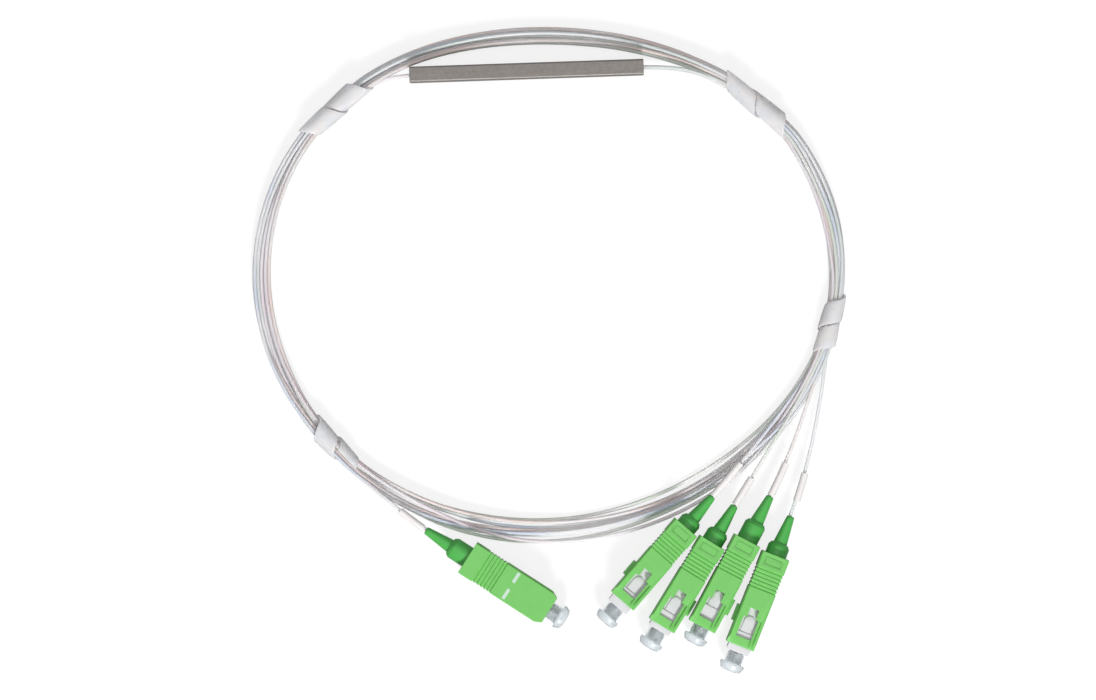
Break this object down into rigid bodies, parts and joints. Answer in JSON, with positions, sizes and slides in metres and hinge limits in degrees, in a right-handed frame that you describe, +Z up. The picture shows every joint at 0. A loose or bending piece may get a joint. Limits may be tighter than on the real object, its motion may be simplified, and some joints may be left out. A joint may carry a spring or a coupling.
{
  "type": "plc fibre splitter",
  "caption": "Steel-tube optical splitter whose input and output tails lie in a flat wrapped ring and end in green push-pull plugs under clear dust caps.",
  "frame": {"origin": "middle of the steel tube's underside", "axes": "+X along the tube from the input to the outputs, +Z up from the surface the object lies on"},
  "size_m": [0.1523, 0.1676, 0.0091],
  "materials": {
    "tube_steel": "satin, warm grey",
    "seal_resin": "matt cured resin",
    "optical_glass": "polished",
    "bare_glass_fibre": "smooth",
    "tail_jacket": "smooth, slightly milky",
    "wrap_polyethylene": "milky, half clear",
    "sleeve_plastic": "matt white",
    "shell_green": "satin light green",
    "boot_green": "matt green",
    "frame_white": "satin white",
    "cap_clear": "milky, half clear",
    "ferrule_ceramic": "polished white",
    "spring_steel": "bright wire",
    "rear_body_metal": "nickel-plated"
  },
  "bodies": {
    "cable": {"steel_tube": "tube_steel", "input_seal": "seal_resin", "output_seal": "seal_resin", "splitter_chip": "optical_glass", "fibre_array_input": "optical_glass", "fibre_array_output": "optical_glass", "bare_fibre_input": "bare_glass_fibre", "bare_fibre_output": "bare_glass_fibre", "tail_start_input": "tail_jacket", "tail_starts_output": "tail_jacket", "coiled_tails": "tail_jacket", "wrap_1": "wrap_polyethylene", "wrap_2": "wrap_polyethylene", "wrap_3": "wrap_polyethylene", "wrap_4": "wrap_polyethylene", "tail_input": "tail_jacket", "marker_sleeve_input": "sleeve_plastic", "plug_frame_input": "frame_white", "rear_body_input": "rear_body_metal", "spring_input": "spring_steel", "boot_input": "boot_green", "tail_output_1": "tail_jacket", "marker_sleeve_output_1": "sleeve_plastic", "plug_frame_output_1": "frame_white", "rear_body_output_1": "rear_body_metal", "spring_output_1": "spring_steel", "boot_output_1": "boot_green", "tail_output_2": "tail_jacket", "marker_sleeve_output_2": "sleeve_plastic", "plug_frame_output_2": "frame_white", "rear_body_output_2": "rear_body_metal", "spring_output_2": "spring_steel", "boot_output_2": "boot_green", "tail_output_3": "tail_jacket", "marker_sleeve_output_3": "sleeve_plastic", "plug_frame_output_3": "frame_white", "rear_body_output_3": "rear_body_metal", "spring_output_3": "spring_steel", "boot_output_3": "boot_green", "tail_output_4": "tail_jacket", "marker_sleeve_output_4": "sleeve_plastic", "plug_frame_output_4": "frame_white", "rear_body_output_4": "rear_body_metal", "spring_output_4": "spring_steel", "boot_output_4": "boot_green"},
    "shell_input": {"shell_input": "shell_green"},
    "ferrule_input": {"ferrule_input": "ferrule_ceramic"},
    "cap_input": {"dust_cap_input": "cap_clear"},
    "shell_output_1": {"shell_output_1": "shell_green"},
    "ferrule_output_1": {"ferrule_output_1": "ferrule_ceramic"},
    "cap_output_1": {"dust_cap_output_1": "cap_clear"},
    "shell_output_2": {"shell_output_2": "shell_green"},
    "ferrule_output_2": {"ferrule_output_2": "ferrule_ceramic"},
    "cap_output_2": {"dust_cap_output_2": "cap_clear"},
    "shell_output_3": {"shell_output_3": "shell_green"},
    "ferrule_output_3": {"ferrule_output_3": "ferrule_ceramic"},
    "cap_output_3": {"dust_cap_output_3": "cap_clear"},
    "shell_output_4": {"shell_output_4": "shell_green"},
    "ferrule_output_4": {"ferrule_output_4": "ferrule_ceramic"},
    "cap_output_4": {"dust_cap_output_4": "cap_clear"}
  },
  "joints": [
    {"name": "shell_input_slide", "type": "slide", "parent": "cable", "child": "shell_input", "axis": [0.8211, -0.5707, 0], "range_m": [-0.0024, 0]},
    {"name": "cap_input_pull", "type": "slide", "parent": "cable", "child": "cap_input", "axis": [0.8211, -0.5707, 0], "range_m": [0, 0.009]},
    {"name": "ferrule_input_push", "type": "slide", "parent": "cable", "child": "ferrule_input", "axis": [-0.8211, 0.5707, 0], "range_m": [0, 0.001], "stiffness_N_per_m": 200, "deforming": ["spring_input"]},
    {"name": "shell_output_1_slide", "type": "slide", "parent": "cable", "child": "shell_output_1", "axis": [-0.6794, -0.7337, 0], "range_m": [0, 0.0024]},
    {"name": "cap_output_1_pull", "type": "slide", "parent": "cable", "child": "cap_output_1", "axis": [0.6794, 0.7337, 0], "range_m": [-0.009, 0]},
    {"name": "ferrule_output_1_push", "type": "slide", "parent": "cable", "child": "ferrule_output_1", "axis": [0.6794, 0.7337, 0], "range_m": [0, 0.001], "stiffness_N_per_m": 200, "deforming": ["spring_output_1"]},
    {"name": "shell_output_2_slide", "type": "slide", "parent": "cable", "child": "shell_output_2", "axis": [-0.5505, -0.8348, 0], "range_m": [-0.00065, 0.00175]},
    {"name": "cap_output_2_pull", "type": "slide", "parent": "cable", "child": "cap_output_2", "axis": [0.5505, 0.8348, 0], "range_m": [-0.009, 0]},
    {"name": "ferrule_output_2_push", "type": "slide", "parent": "cable", "child": "ferrule_output_2", "axis": [0.5505, 0.8348, 0], "range_m": [0, 0.001], "stiffness_N_per_m": 200, "deforming": ["spring_output_2"]},
    {"name": "shell_output_3_slide", "type": "slide", "parent": "cable", "child": "shell_output_3", "axis": [-0.497, -0.8678, 0], "range_m": [-0.0024, 0]},
    {"name": "cap_output_3_pull", "type": "slide", "parent": "cable", "child": "cap_output_3", "axis": [0.497, 0.8678, 0], "range_m": [-0.009, 0]},
    {"name": "ferrule_output_3_push", "type": "slide", "parent": "cable", "child": "ferrule_output_3", "axis": [0.497, 0.8678, 0], "range_m": [0, 0.001], "stiffness_N_per_m": 200, "deforming": ["spring_output_3"]},
    {"name": "shell_output_4_slide", "type": "slide", "parent": "cable", "child": "shell_output_4", "axis": [-0.4003, -0.9164, 0], "range_m": [-0.00035, 0.00205]},
    {"name": "cap_output_4_pull", "type": "slide", "parent": "cable", "child": "cap_output_4", "axis": [0.4003, 0.9164, 0], "range_m": [-0.009, 0]},
    {"name": "ferrule_output_4_push", "type": "slide", "parent": "cable", "child": "ferrule_output_4", "axis": [0.4003, 0.9164, 0], "range_m": [0, 0.001], "stiffness_N_per_m": 200, "deforming": ["spring_output_4"]}
  ]
}
